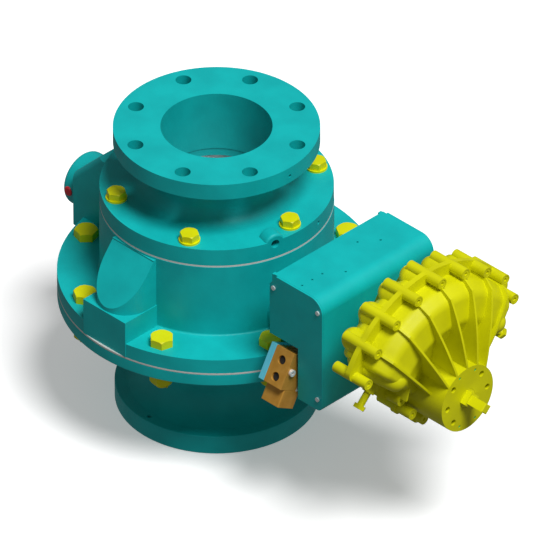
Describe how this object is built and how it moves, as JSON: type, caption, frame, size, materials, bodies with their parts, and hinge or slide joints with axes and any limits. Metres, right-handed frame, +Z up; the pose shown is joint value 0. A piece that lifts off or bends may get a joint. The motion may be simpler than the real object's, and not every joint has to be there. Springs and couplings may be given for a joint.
{
  "type": "plug valve",
  "caption": "Flanged rotary plug valve, vertical flow, with a swinging dome plug, a sheet bracket, a fan-shaped vane actuator and a small pilot valve.",
  "frame": {"origin": "centre of the bottom flange's face, on the flow axis", "axes": "+Z up the flow passage towards the top flange, +X along the plug shaft towards the actuator"},
  "size_m": [0.785, 0.442, 0.453],
  "materials": {
    "teal_paint": "satin",
    "yellow_paint": "satin",
    "gasket_sheet": "matte",
    "steel": "satin",
    "bronze": "satin",
    "rubber": "matte",
    "red_plastic": "satin",
    "blue_plate": "satin",
    "aluminium": "satin"
  },
  "bodies": {
    "valve": {"valve_body": "teal_paint", "top_cover": "teal_paint", "outlet_base": "teal_paint", "cover_gasket": "gasket_sheet", "base_gasket": "gasket_sheet", "seat_ring": "steel", "seat_seal": "rubber", "cover_washers": "yellow_paint", "cover_bolts": "yellow_paint", "base_bolts": "yellow_paint", "base_nuts": "yellow_paint", "base_washers": "yellow_paint", "drive_bush": "bronze", "idle_bush": "bronze", "shaft_packing": "rubber", "gland": "steel", "gland_screws": "steel", "grease_plug": "red_plastic", "mounting_bracket": "teal_paint", "bracket_screws": "steel", "end_plate_left": "teal_paint", "end_plate_right": "teal_paint", "end_plate_screws": "steel", "pilot_valve_block": "bronze", "pilot_coil": "bronze", "pilot_coil_nut": "steel", "pilot_plate": "blue_plate", "pilot_support": "steel", "rear_casing": "yellow_paint", "front_casing": "yellow_paint", "casing_screws": "yellow_paint", "casing_nuts": "yellow_paint", "actuator_screws": "steel", "front_bush": "bronze", "rear_bush": "bronze", "front_shaft_seal": "rubber", "rear_shaft_seal": "rubber", "stop_nut_left": "yellow_paint", "stop_nut_right": "yellow_paint"},
    "plug": {"plug_dome": "steel", "drive_shaft": "steel", "idle_shaft": "steel", "drive_pin": "steel", "idle_pin": "steel"},
    "vane": {"vane": "aluminium", "vane_seal": "rubber", "output_stub": "yellow_paint"},
    "stop_left": {"stop_screw_left": "yellow_paint"},
    "stop_right": {"stop_screw_right": "yellow_paint"}
  },
  "joints": [
    {"name": "plug_turn", "type": "hinge", "parent": "valve", "child": "plug", "pos_m": [0, 0, 0.2385], "axis": [1, 0, 0], "range_deg": [0, 90]},
    {"name": "vane_turn", "type": "hinge", "parent": "valve", "child": "vane", "pos_m": [0.406, 0, 0.2385], "axis": [1, 0, 0], "range_deg": [0, 90]},
    {"name": "stop_left_adjust", "type": "slide", "parent": "valve", "child": "stop_left", "axis": [0, 0.7071, 0.7071], "range_m": [-0.01, 0]},
    {"name": "stop_right_adjust", "type": "slide", "parent": "valve", "child": "stop_right", "axis": [0, -0.7071, 0.7071], "range_m": [-0.01, 0]}
  ],
  "couplings": [
    {"joint": "vane_turn", "follows": "plug_turn", "ratio": 1}
  ]
}
